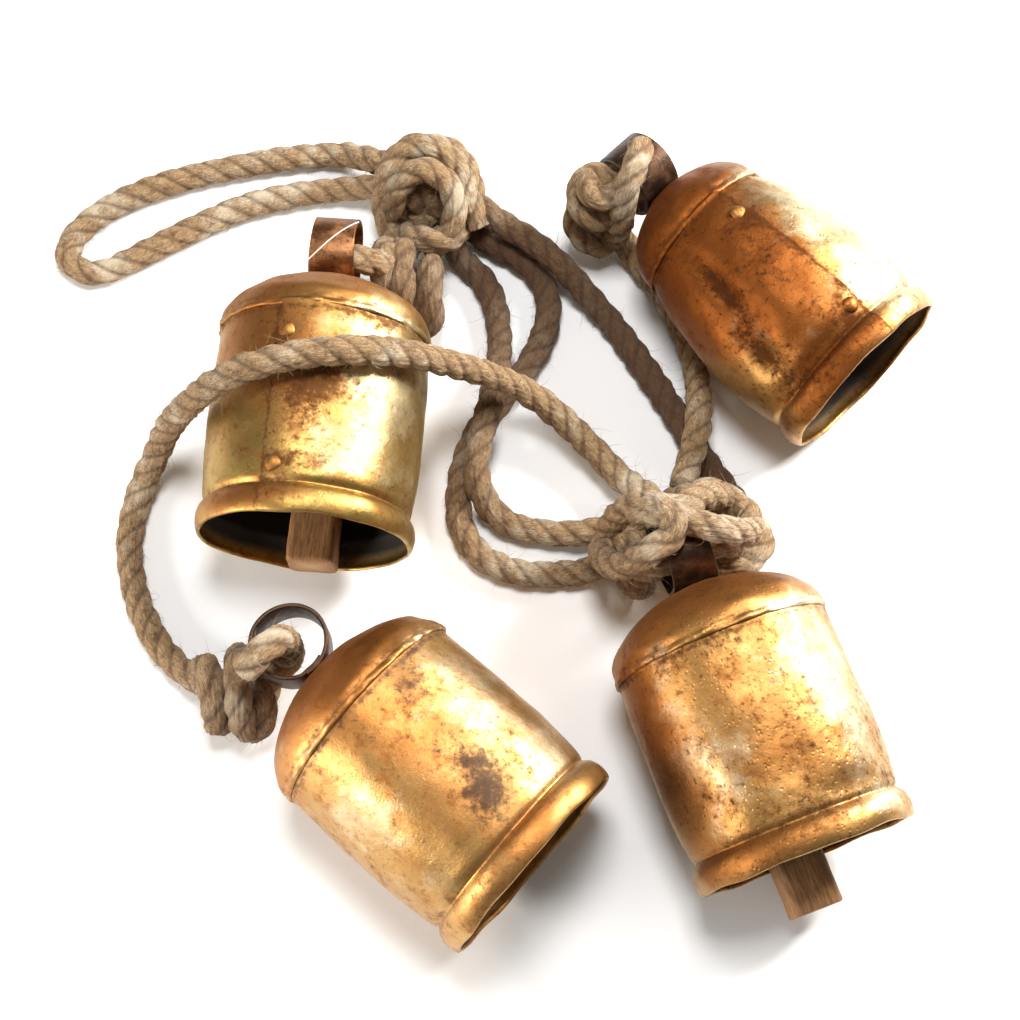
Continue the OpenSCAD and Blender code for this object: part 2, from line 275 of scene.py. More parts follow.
class Piece:
    """Vertices, faces and vertex attributes that add up to one mesh object."""

    def __init__(self):
        self.points, self.faces, self.attributes, self.count = [], [], {}, 0

    def grid(self, points, close_u=True, close_v=False, **attributes):
        """Adds a grid of points [u, v, 3], in mm, and its quads."""
        nu, nv = points.shape[:2]
        index = self.count + np.arange(nu * nv).reshape(nu, nv)
        if close_u:
            index = np.vstack([index, index[:1]])
        if close_v:
            index = np.hstack([index, index[:, :1]])
        self.faces.extend(quads(index))
        self.points.append(points.reshape(-1, 3))
        self.add_attributes(nu * nv, attributes)
        return index

    def fan(self, ring, middle, flip, **attributes):
        """Closes a ring of vertex numbers to a middle point."""
        tip = self.count
        self.points.append(np.array([middle]))
        self.add_attributes(1, attributes)
        ring = list(ring)
        for a, b in zip(ring, ring[1:] + ring[:1]):
            self.faces.append([b, a, tip] if flip else [a, b, tip])

    def add_attributes(self, number, attributes):
        for name, value in attributes.items():
            value = np.asarray(value, dtype=float)
            width = 3 if name.endswith("_co") else 1
            flat = np.broadcast_to(value.reshape(-1, width) if value.ndim else value, (number, width))
            self.attributes.setdefault(name, []).append((self.count, flat))
        self.count += number

    def make(self, name, material, body, replaces=()):
        """Makes the object, in metres, and says what it rides on and stands for."""
        mesh = bpy.data.meshes.new(name)
        mesh.from_pydata((np.vstack(self.points) * MM).tolist(), [], self.faces)
        for key, runs in self.attributes.items():
            width = runs[0][1].shape[1]
            values = np.zeros((self.count, width))
            for start, flat in runs:
                values[start:start + len(flat)] = flat
            kind = "FLOAT_VECTOR" if width == 3 else "FLOAT"
            layer = mesh.attributes.new(key, kind, "POINT")
            layer.data.foreach_set("vector" if width == 3 else "value", values.ravel())
        mesh.polygons.foreach_set("use_smooth", [True] * len(mesh.polygons))
        mesh.materials.append(material)
        mesh.update()
        made = bpy.data.objects.new(name, mesh)
        bpy.context.scene.collection.objects.link(made)
        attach(made, body)
        if replaces:
            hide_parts(*replaces)
        return made


def waves(rng, number, longest, shortest, radius):
    """A smooth random field of an angle and a height, about -1 to 1.

    It closes round a circle of the given radius. Lengths are in mm.
    """
    length = np.exp(rng.uniform(np.log(shortest), np.log(longest), number))
    turn = rng.uniform(0, TAU, number)
    ku, kv = TAU / length * np.cos(turn), TAU / length * np.sin(turn)
    ku = np.round(ku * radius)
    phase = rng.uniform(0, TAU, number)

    def field(angle, height):
        total = 0
        for a, b, c in zip(ku, kv, phase):
            total = total + np.cos(a * angle + b * height + c)
        return total / math.sqrt(number)
    return field


def smoothstep(x, low, high):
    t = np.clip((x - low) / (high - low), 0, 1)
    return t * t * (3 - 2 * t)


# ---- bells ----

# Sheet thickness, the band at the mouth, the cap's turned lip, and degrees from the seam's rivets
# to the edge of its outer sheet
SHEET = 1.2
BAND_H = 10.5
BAND_BULGE = 1.6
LIP_H = 2.4
LAP_TURN = 6
# The strip loop: outer diameter, width, thickness, rounding of its edges, the angle each end laps
# past the bottom, and how deep it sits in the dome's top
HANGER_D, HANGER_W, HANGER_T, HANGER_SOFT = 27, 17, 1.5, 0.45
HANGER_LAP = 0.30
HANGER_SINK = 1
# Radii at which spots, and the waves of the sheet, the cap and the clapper, are laid out
SPOT_R, SHEET_R, CAP_R, WOOD_R = 37, 36, 38, 9
# The dome is a little more conical than an ellipse
DOME_POWER = 1.2
# How strongly painted shade blackens the inside
SHADE_INSIDE = 0.98
# Pits of a pitted bell: how many, how high the lowest is, their reach and their depth
PITS, PITS_FROM, PIT_REACH, PIT_DEPTH = 260, 12, (1.3, 3.0), (0.03, 0.13)
# Rivets: the lower one's height, the upper one's share of the height of the sheet, and the radius
# and height of the head outside and of the bucked end inside
RIVET_Z, RIVET_UP = 16.5, 0.86
RIVET_HEAD, RIVET_END = (2.9, 1.7), (2.8, 0.9)
WIDE = dict(mouth_r=37.2, groove_r=36.2, belly_r=38.2, belly_z=45, top_r=37.6, lip_r=38.8, lip_z=74.4,
            dome_h=21.6, eye_z=86, link_h=30, drop=24.5, wood_w=18, wood_pitch=0)
SLIM = dict(mouth_r=34, groove_r=34.0, belly_r=36.4, belly_z=34, top_r=27.6, lip_r=28.8, lip_z=80,
            dome_h=20.6, eye_z=91, link_h=26, drop=17, wood_w=15, wood_pitch=6.5)
# How far the clapper reaches past its hole, and how square it is
WOOD_HEAD, WOOD_SQUARE = 5.5, 7.0

# Each bell: its pattern, heading in degrees, tilt of the mouth, whether the hanger's axis is turned
# level (90) or upright (0), the seam's angle from the top and the side it laps to, the height of the
# clapper's tip, and how rippled and how hammered the sheet is.
# Spots on a bell: angle from the top in degrees, height above the mouth, reach round the bell and
# along it, all in mm but the angle, and how strong the spot is (for a dent, mm outwards).
# Highlight spots are painted highlights in the pale tone.
BELLS = {
    1: dict(size=WIDE, heading=-94, tilt=0, hanger_turn=90, seam=-12, lap_side=-1, tip_z=-2,
            ripple=0.16, hammer=0.014,
            stains=[(2, 48, 12, 9, 1.0), (14, 44, 13, 7, 0.8), (-2, 34, 9, 10, 0.7), (-6, 17, 5, 4, 1.0),
                    (8, 20, 9, 4, 0.7), (-14, 62, 4, 12, 0.8), (-14, 22, 3, 14, 0.6), (35, 72, 14, 3, 0.8),
                    (-10, 8, 5, 5, 0.6)],
            coppers=[(-40, 60, 22, 22, 0.7), (-30, 6, 26, 6, 0.8), (0, 50, 14, 20, 0.5),
                     (0, 98, 70, 22, 0.8)],
            pales=[(38, 55, 18, 22, 0.75), (25, 22, 18, 12, 0.55), (62, 40, 16, 40, 0.3)],
            dents=[(12, 24, 13, 6, -0.9), (20, 14, 14, 3, 0.5), (-20, 40, 16, 20, -0.5),
                   (30, 45, 18, 20, 0.4)]),
    2: dict(size=SLIM, heading=-46, tilt=1, hanger_turn=90, seam=0, lap_side=1, tip_z=12,
            ripple=0.24, hammer=0.016,
            # Two narrow, strong stains lie along bell 2's two deep crease dents and paint shade into them.
            stains=[(-2, 66, 10, 8, 0.9), (-12, 50, 12, 12, 0.6), (-6, 12, 8, 6, 0.9), (-43, 54, 4, 15, 1.6),
                    (-54, 28, 4, 12, 1.4), (-62, 16, 14, 5, 0.7), (-30, 8, 14, 5, 0.6), (4, 60, 3, 28, 0.8),
                    (0, 20, 9, 6, 0.6)],
            coppers=[(-22, 50, 24, 34, 1.0), (0, 100, 70, 24, 1.0), (-75, 60, 20, 30, 0.6),
                     (-30, 6, 30, 8, 0.8)],
            pales=[(42, 50, 18, 40, 0.85), (30, 16, 16, 12, 0.7), (-45, 40, 8, 14, 0.3)],
            dents=[(-42, 56, 5, 15, -2.6), (-54, 28, 6, 14, -2.4), (-30, 38, 9, 20, 0.9),
                   (-66, 46, 10, 20, 0.8), (-40, 13, 20, 3, -1.3), (20, 40, 8, 34, -0.8),
                   (-40, 5, 12, 4, -0.8), (32, 60, 7, 12, 0.5)]),
    3: dict(size=WIDE, heading=-41.4, tilt=0, hanger_turn=0, seam=130, lap_side=1, tip_z=7,
            ripple=0.11, hammer=0.006,
            stains=[(14, 30, 9, 9, 1.0), (5, 24, 8, 8, 0.6), (22, 66, 9, 7, 0.8), (0, 18, 9, 6, 0.5),
                    (30, 20, 12, 4, 0.5), (16, 44, 16, 16, 0.35), (50, 72, 14, 3, 0.6)],
            coppers=[(0, 40, 14, 50, 0.45), (0, 98, 80, 22, 0.95), (20, 6, 14, 5, 0.5)],
            pales=[(45, 50, 16, 30, 0.6), (-46, 45, 16, 36, 0.45), (48, 18, 14, 9, 0.6)],
            dents=[(0, 50, 14, 24, -0.5), (30, 62, 12, 9, 0.4), (-30, 14, 20, 3, 0.4)]),
    4: dict(size=WIDE, heading=-69.5, tilt=0, hanger_turn=90, seam=-132, lap_side=1, tip_z=-17,
            ripple=0.18, hammer=0.024,
            stains=[(12, 34, 14, 22, 0.5), (-20, 70, 20, 3, 0.7), (10, 14, 20, 4, 0.7), (60, 20, 9, 20, 0.5),
                    (-35, 24, 9, 12, 0.4), (0, 6, 20, 4, 0.4)],
            coppers=[(-10, 40, 16, 30, 0.4), (0, 98, 80, 22, 0.9), (-64, 45, 16, 40, 0.9),
                     (-30, 6, 26, 6, 0.7), (20, 30, 16, 24, 0.4)],
            pales=[(40, 50, 14, 34, 0.85), (-40, 44, 18, 30, 0.45), (40, 8, 14, 5, 0.5)],
            dents=[(24, 15, 10, 5, -1.4), (-24, 60, 14, 10, -0.6), (34, 40, 10, 28, 0.5),
                   (-10, 30, 14, 20, -0.4)],
            pitted=True),
}


def spots(fields, angle, z):
    """The sum of soft spots at each point of the bell."""
    total = np.zeros(np.broadcast(angle, z).shape)
    for degrees, height, reach_round, reach_along, strength in fields:
        off = (angle - math.radians(degrees) + math.pi) % TAU - math.pi
        far = (off * SPOT_R / reach_round) ** 2 + ((z - height) / reach_along) ** 2
        total = total + strength * np.exp(-far)
    return total


class Bell:
    """One bell's own frame and its sheet surface. +Z runs from the mouth to the crown, +X is up."""

    def __init__(self, number):
        self.number = number
        self.look = BELLS[number]
        self.size = self.look["size"]
        self.lap_edge = math.radians(self.look["seam"] + self.look["lap_side"] * LAP_TURN)
        heading, tilt = math.radians(self.look["heading"]), math.radians(self.look["tilt"])
        level = np.array([math.cos(heading), math.sin(heading), 0])
        upright = np.array([0, 0, 1])
        out = math.cos(tilt) * level + math.sin(tilt) * upright
        up = math.cos(tilt) * upright - math.sin(tilt) * level
        left = np.array([-math.sin(heading), math.cos(heading), 0])
        self.axes = np.array([up, left, -out])
        pivot = next(j for j in frame["joints"] if j["name"] == f"link_{number}_swing")["pos_m"]
        self.origin = np.array(pivot) / MM + self.size["eye_z"] * out
        self.rng = np.random.default_rng(70 + number)
        self.ripple = waves(self.rng, 26, 46, 11, SHEET_R)
        self.hammer = waves(self.rng, 40, 7, 2.4, SHEET_R)
        self.oval = self.rng.uniform(0, TAU, 3)
        self.pits = self.random_pits() if "pitted" in self.look else []
        self.apex_z = self.size["lip_z"] + LIP_H + self.size["dome_h"]
        self.hanger_z = self.apex_z - HANGER_SINK + HANGER_D / 2

    def random_pits(self):
        angles = self.rng.uniform(-math.pi, math.pi, PITS)
        heights = self.rng.uniform(PITS_FROM, self.size["lip_z"], PITS)
        reaches = self.rng.uniform(*PIT_REACH, PITS)
        depths = self.rng.uniform(*PIT_DEPTH, PITS)
        return [(math.degrees(a), z, r, r, -d) for a, z, r, d in zip(angles, heights, reaches, depths)]

    def world(self, points):
        return self.origin + np.asarray(points) @ self.axes

    def wall(self, z):
        """The sheet's outer radius at height z before laps, dents and hammering."""
        s = self.size
        low = s["groove_r"] + (s["belly_r"] - s["groove_r"]) * (
            1 - (1 - np.clip((z - BAND_H) / (s["belly_z"] - BAND_H), 0, 1)) ** 3)
        high = s["belly_r"] + (s["top_r"] - s["belly_r"]) * np.clip(
            (z - s["belly_z"]) / (s["lip_z"] - s["belly_z"]), 0, 1) ** 2
        body = np.where(z < s["belly_z"], low, high)
        t = np.clip(z / BAND_H, 0, 1)
        band = s["mouth_r"] + (s["groove_r"] - s["mouth_r"]) * t + BAND_BULGE * np.sin(math.pi * t) ** 0.75
        crease = 0.7 * np.exp(-((z - BAND_H) / 1.3) ** 2)
        return np.where(z < BAND_H, band, body) - crease

    def hand_made(self, angle, z):
        """What hammering, dents and handling do to the radius."""
        a, b, c = self.oval
        slow = 0.30 * np.cos(2 * angle + a) + 0.18 * np.cos(3 * angle + b) + 0.12 * np.cos(5 * angle + c)
        dents = spots(self.look["dents"], angle, z) + spots(self.pits, angle, z)
        beaten = self.look["hammer"] * self.hammer(angle, z)
        return slow + self.look["ripple"] * self.ripple(angle, z) + beaten + dents

    def lap(self, angle, z):
        """The outer sheet's step at the seam, which fades as the sheet wraps on."""
        wander = 0.012 * np.sin(z * 0.31) + 0.008 * np.sin(z * 0.83 + 1)
        past = (-self.look["lap_side"] * (angle - self.lap_edge) + wander + math.pi) % TAU - math.pi
        return SHEET * smoothstep(past, -0.006, 0.010) * (1 - smoothstep(past, 0.25, 0.9))

    def surface(self, angle, z):
        return self.wall(z) + self.lap(angle, z) + self.hand_made(angle, z)

    def paint(self, angle, z):
        """The vertex attributes that colour the sheet, painted highlights in the pale tone among them."""
        look = self.look
        # Besides the listed stains, the stain is raised along the seam's edge, in a band just under the cap's
        # lip and in the groove above the band.
        off = np.abs((angle - self.lap_edge + math.pi) % TAU - math.pi) * SPOT_R
        seam = 0.9 * np.exp(-(off / 1.3) ** 2) * (z < self.size["lip_z"])
        seat = 0.8 * np.exp(-((z - self.size["lip_z"] + 1.2) / 1.2) ** 2)
        groove = 0.35 * np.exp(-((z - BAND_H - 0.5) / 1.6) ** 2)
        return dict(stain=spots(look["stains"], angle, z) + seam + seat + groove,
                    copper=spots(look["coppers"], angle, z),
                    pale=spots(look["pales"], angle, z))


def spread_angles(bell):
    """Angles round the bell, packed more closely at the seam's edge."""
    even = np.linspace(-math.pi, math.pi, 300, endpoint=False)
    near = np.linspace(-0.035, 0.035, 25)
    return np.sort(bell.lap_edge + np.concatenate([even[np.abs(even) > 0.04], near]))


def round_about(radius, angles):
    """The x and y of a grid of radii whose first axis runs round the angles."""
    return radius * np.cos(angles)[:, None], radius * np.sin(angles)[:, None]


def make_shell(bell, metal):
    """Sheet body: outer face from the mouth up, then the inner face back down."""
    angles = spread_angles(bell)
    top = bell.size["lip_z"] + 2
    outer = np.concatenate([np.linspace(0.25, BAND_H + 3, 34), np.linspace(BAND_H + 3.6, top, 96)])
    inner = np.linspace(top - 0.4, 0.25, 60)
    out_r = bell.surface(angles[:, None], outer)
    in_r = bell.wall(inner) + bell.hand_made(angles[:, None], inner) - SHEET
    rim_r = (out_r[:, :1] + in_r[:, -1:]) / 2
    wave = 0.25 * np.cos(7 * angles + bell.oval[0]) + 0.15 * np.cos(11 * angles + bell.oval[1])
    height = np.concatenate([outer, inner, [0.0]])
    radius = np.hstack([out_r, in_r, rim_r])
    fade = np.exp(-height / 4)
    heights = height + wave[:, None] * fade
    x, y = round_about(radius, angles)
    points = bell.world(np.stack([x, y, heights], -1))
    paint = bell.paint(angles[:, None], height)
    # Painted shade inside the shell: near-black, deepening from the mouth inwards
    soot = np.zeros(radius.shape)
    soot[:, len(outer):-1] = smoothstep(inner, 0.6, 7) * SHADE_INSIDE
    piece = Piece()
    piece.grid(points, close_v=True, soot=soot, **paint)
    n = bell.number
    piece.make(f"bell_{n}_sheet", metal, f"bell_{n}", [f"bell_{n}_shell"])


def make_crown(bell, metal):
    """Domed cap with a turned lip over the shell's top."""
    s = bell.size
    angles = np.linspace(-math.pi, math.pi, 260, endpoint=False)
    rise = np.radians(np.concatenate([np.linspace(0, 80, 60), np.linspace(82, 89.6, 8)]))
    side_r = s["lip_r"] - SHEET / 2
    base = s["lip_z"] + LIP_H
    lip_t = np.linspace(0, 1, 10)
    lip_r = side_r + 0.55 * np.sin(math.pi * lip_t) ** 0.6 * (1 - 0.5 * lip_t)
    lip_z = s["lip_z"] + LIP_H * lip_t
    dome_r = side_r * np.cos(rise) ** DOME_POWER
    dome_z = base + s["dome_h"] * np.sin(rise)
    back_r = (side_r - SHEET) * np.cos(rise[::-1]) ** DOME_POWER
    back_z = base + (s["dome_h"] - SHEET) * np.sin(rise[::-1])
    radius = np.concatenate([lip_r, dome_r[1:], back_r, [side_r - SHEET]])
    height = np.concatenate([lip_z, dome_z[1:], back_z, [s["lip_z"]]])
    outside = len(lip_r) + len(dome_r) - 1
    crimp = waves(bell.rng, 20, 16, 4, CAP_R)
    dings = waves(bell.rng, 22, 40, 12, CAP_R)
    inward = np.clip(radius / side_r, 0, 1)
    at_lip = np.exp(-((height - s["lip_z"] - 1) / 2.2) ** 2)
    change = 0.30 * crimp(angles[:, None], height) * at_lip
    a, b = bell.oval[:2]
    change = change + (0.30 * np.cos(2 * angles + a) + 0.18 * np.cos(3 * angles + b))[:, None]
    change = (change + 0.22 * dings(angles[:, None], 2.2 * height)) * inward
    radius = radius + change
    sag = 0.5 * dings(angles[:, None], 1.6 * height)
    sag = sag * np.clip(1 - inward, 0, 0.5) * inward
    x, y = round_about(radius, angles)
    points = bell.world(np.stack([x, y, height + sag], -1))
    paint = bell.paint(angles[:, None], height)
    # Painted shade: the cap's inside is near-black
    soot = np.zeros(radius.shape)
    soot[:, outside:] = SHADE_INSIDE
    # The cap's stains are weakened, and a darker ring runs where the dome rises from the lip.
    ring = 0.5 * np.exp(-((height - base - 0.6) / 0.9) ** 2)
    paint["stain"] = paint["stain"] * 0.4 + ring
    # A painted highlight in the pale tone along the turned lip, below the bell's highlight spots
    paint["pale"] = paint["pale"] + 0.9 * at_lip * spots(bell.look["pales"], angles[:, None], 70)
    piece = Piece()
    piece.grid(points, close_v=True, soot=soot, **paint)
    n = bell.number
    piece.make(f"bell_{n}_cap", metal, f"bell_{n}", [f"bell_{n}_crown"])


def make_rivets(bell, metal):
    """Two hammered rivet heads on the seam, and their bucked ends inside."""
    piece = Piece()
    rng = bell.rng
    seam = math.radians(bell.look["seam"])
    c, s = math.cos(seam), math.sin(seam)
    for z in (RIVET_Z, bell.size["lip_z"] * RIVET_UP):
        base = float(bell.surface(np.array([seam]), np.array([z]))[0])
        inside = base - 2 * SHEET
        for sign, start, (head_r, head_h) in ((1, base - 0.3, RIVET_HEAD), (-1, inside - 0.1, RIVET_END)):
            around = np.linspace(0, TAU, 28, endpoint=False)
            rise = np.radians(np.linspace(0, 84, 9))
            uneven = (1 + 0.06 * np.cos(3 * around + rng.uniform(0, TAU)))[:, None]
            r = head_r * np.cos(rise) * uneven
            leaning = 0.15 * np.cos(around + 1)[:, None] * np.cos(rise)
            out = start + sign * head_h * (np.sin(rise) - leaning)
            y, along = round_about(r, around)
            points = bell.world(np.stack([out * c - y * s, out * s + y * c, z + along], -1))
            ring = piece.grid(points, soot=0.0, stain=0.35 if sign > 0 else 0.8, copper=0.5, pale=0.1)
            middle = start + sign * head_h
            tip = bell.world([middle * c, middle * s, z])
            piece.fan(ring[:-1, -1], tip, sign < 0, soot=0.0, stain=0.3, copper=0.5, pale=0.1)
            foot = bell.world([(start - sign) * c, (start - sign) * s, z])
            piece.fan(ring[:-1, 0], foot, sign > 0, soot=0.0, stain=0.6, copper=0.5, pale=0.0)
    n = bell.number
    piece.make(f"bell_{n}_rivet_heads", metal, f"bell_{n}", [f"bell_{n}_rivets"])


def hanger_point(bell, x, y, along):
    """Hanger frame: x from the crown outwards, y across, along the loop's own axis."""
    out = bell.hanger_z + x
    across = [y, along] if bell.look["hanger_turn"] else [along, y]
    return bell.world(np.stack([*across, out], -1))


def make_hanger(bell, iron):
    """A strip bent into a loop, its ends lapped where the staple pins them to the crown."""
    around = np.linspace(-HANGER_LAP, TAU + HANGER_LAP, 150)
    mean_r = (HANGER_D - HANGER_T) / 2
    half_w, half_t, soft = HANGER_W / 2, HANGER_T / 2, HANGER_SOFT
    edge = np.array([
        (s * (half_w - soft + soft * math.cos(a)), t * (half_t - soft + soft * math.sin(a)))
        for s, t, turn in ((1, 1, (0, 90)), (-1, 1, (90, 0)), (-1, -1, (0, 90)), (1, -1, (90, 0)))
        for a in np.radians(np.linspace(*turn, 4))])
    step = 0.75 * smoothstep(around, TAU - 0.5, TAU - 0.2)
    wobble = 0.25 * np.cos(2 * around + bell.oval[0]) + 0.12 * np.cos(3 * around + bell.oval[1])
    centre_r = mean_r + wobble * smoothstep(1 - np.cos(around), 0.1, 0.6) - step
    r = centre_r[:, None] + edge[:, 1]
    narrow = 1 - 0.03 * (1 + np.cos(2 * around + bell.oval[2]))[:, None]
    x, y = round_about(r, around)
    points = hanger_point(bell, -x, y, edge[:, 0] * narrow)
    piece = Piece()
    index = piece.grid(points, close_u=False, close_v=True)
    piece.fan(index[0, :-1], points[0].mean(0), False)
    piece.fan(index[-1, :-1], points[-1].mean(0), True)
    n = bell.number
    piece.make(f"bell_{n}_hanger_strip", iron, f"bell_{n}", [f"bell_{n}_hanger"])


def make_clapper(bell, wood):
    """Squared wooden block with worn edges and saw-cut ends."""
    s = bell.size
    swing = math.asin(s["drop"] / s["link_h"])
    centre_z = s["eye_z"] - s["link_h"] * math.cos(swing)
    low, high = bell.look["tip_z"] - centre_z, WOOD_HEAD
    along = np.concatenate([[low], np.linspace(low + 0.25, low + 1.2, 4), np.linspace(low + 2, high - 2, 40),
                            np.linspace(high - 1.2, high - 0.25, 4), [high]])
    around = np.linspace(0, TAU, 72, endpoint=False)
    half = s["wood_w"] / 2
    p = WOOD_SQUARE
    square = half / (np.abs(np.cos(around)) ** p + np.abs(np.sin(around)) ** p) ** (1 / p)
    square = np.minimum(square, half * 1.27)
    worn = np.clip(np.minimum(along - low, high - along) / 1.2, 0, 1)
    worn = 1 - 0.10 * (1 - np.sqrt(1 - (1 - worn) ** 2))
    chip = waves(bell.rng, 18, 30, 5, WOOD_R)
    r = square[:, None] * worn * (0.985 + 0.014 * chip(around[:, None], along))
    x, y = round_about(r, around)
    z = np.broadcast_to(along, x.shape)
    pitch = math.radians(s["wood_pitch"])
    turned = np.stack([x * math.cos(pitch) + z * math.sin(pitch) - s["drop"], y,
                       z * math.cos(pitch) - x * math.sin(pitch) + centre_z], -1)
    piece = Piece()
    grain = np.stack([x, y, z * 0.12], -1)
    index = piece.grid(bell.world(turned), grain_co=grain, end_grain=0.0)
    for k, flip in ((0, True), (-1, False)):
        middle = bell.world(turned[:, k].mean(0))
        piece.fan(index[:-1, k], middle, flip, grain_co=[[0, 0, 0]], end_grain=0.75)
    n = bell.number
    piece.make(f"bell_{n}_wood", wood, f"clapper_{n}", [f"bell_{n}_clapper"])


def make_bell(number, metal, strip_iron, wire_iron, wood):
    bell = Bell(number)
    make_shell(bell, metal)
    make_crown(bell, metal)
    make_rivets(bell, metal)
    make_hanger(bell, strip_iron)
    make_clapper(bell, wood)
    for part in ("staple", "link"):
        for slot in frame["nodes"][f"bell_{number}_{part}"].material_slots:
            slot.material = wire_iron
    return bell


# ---- rope ----

# The length of one whole twist, and where and how thick the three strands are
LAY = 27
STRAND_OFFSET = 1.3
STRAND_R = 3.7
# The mesh: points round the rope, how far apart its rings are, and the steps in which a curve is
# first worked out between two points of its route
AROUND, STEP, CURVE_STEPS = 48, 0.62, 24
# Loose hairs: how many to a mm of rope, of a knot's turn and of its core, how many on a cut end,
# how thick each is, and how many pieces it has
HAIRS, KNOT_HAIRS, CORE_HAIRS, END_HAIRS = 2.4, 2.0, 1.0, 220
HAIR_R, HAIR_SEGMENTS = 0.075, 4
# How far the rope and the hairs stay above the floor
ROPE_CLEAR, HAIR_CLEAR = 0.05, 0.12

# The short stretch that hides behind the first knot, and the six long ones
LEAD_1 = [(-24, 114, 13), (-27, 105, 16), (-30, 100, 18)]
STRANDS = {
    "hanging_loop": [
        (-36, 143, 14), (-50, 150, 8), (-62, 152, 5), (-80, 150, 5), (-100, 146, 5), (-119, 141, 5),
        (-137, 134, 5), (-150, 126, 5), (-159, 116, 5), (-161, 107, 5), (-154, 101, 5), (-144, 102, 5),
        (-126, 112, 5), (-110, 121, 5), (-93, 129, 5), (-75, 134, 5), (-57, 136, 6), (-37, 134, 13)],
    "inner_lead": [
        (-13, 113, 11), (-6, 105, 5), (1, 98, 5), (6, 87, 5), (8, 74, 5), (8, 64, 9), (7, 54, 14),
        (5, 43, 15.8), (2, 32, 15.8), (0, 22, 15.4), (0, 12, 13), (5, 3, 8), (14, -3, 5), (31, -6, 6),
        (48, -6, 11), (60, -6, 13)],
    "outer_lead": [
        (-6, 120, 8), (6, 112, 5), (15, 107, 5), (23, 99, 5), (27, 88, 5), (25, 74, 5), (18, 60, 5),
        (8, 46, 5), (-2, 31, 5), (-7, 13, 5), (-6, -3, 5), (2, -15, 5), (17, -21, 5), (34, -21, 5),
        (48, -19, 9)],
    "lead_4": [
        (-6, 127, 18), (8, 117, 16), (20, 109, 16), (31, 100, 14), (41, 91, 8), (53, 77, 5), (64, 60, 5),
        (73, 45, 5), (84, 25, 5), (94, 9, 7), (96, 4, 10)],
    "front_strand": [
        (66, 0, 22), (62, 5, 19), (54, 13, 12), (44, 24, 12), (32, 35, 16), (20, 42, 24), (8, 44, 35),
        (-4, 43, 48), (-14, 41, 60), (-24, 39, 71), (-38, 36, 81), (-56, 33, 85), (-74, 30, 81.4),
        (-89, 27, 71.5), (-98, 26, 59), (-105, 27, 45), (-112, 26, 31), (-118, 22, 18), (-124, 14, 9),
        (-128, 3, 5), (-129, -12, 5), (-125, -30, 5), (-117, -46, 5), (-107, -57, 7), (-96, -64, 12)],
    "right_strand": [
        (75, 8, 20), (77, 15, 17.5), (80, 24, 16), (82, 34, 15.9), (83, 44, 13), (83, 58, 7), (79, 75, 5),
        (70, 93, 5), (60, 108, 5), (54, 117, 8)]}
# The cut ends
TAILS = {1: [(-33, 93, 25), (-37, 91, 33), (-44, 90, 38.5), (-52, 90.3, 38.8), (-59, 90.8, 38.8)],
         2: [(47, 115.5, 33), (51, 119.5, 34), (56, 124.5, 35), (61, 129, 35.5), (65.5, 133.5, 36),
             (68.5, 136.5, 36.5)],
         3: [(-79, -66, 11), (-71, -60, 15), (-66, -56, 22), (-65, -55, 32), (-65, -55, 44), (-67, -58, 54),
             (-72, -63, 55.5), (-77, -68, 52)],
         4: [(92, -15, 22), (90, -17, 31), (84, -19, 38), (72, -23.3, 38.8), (62, -27, 37), (57, -25, 28)]}

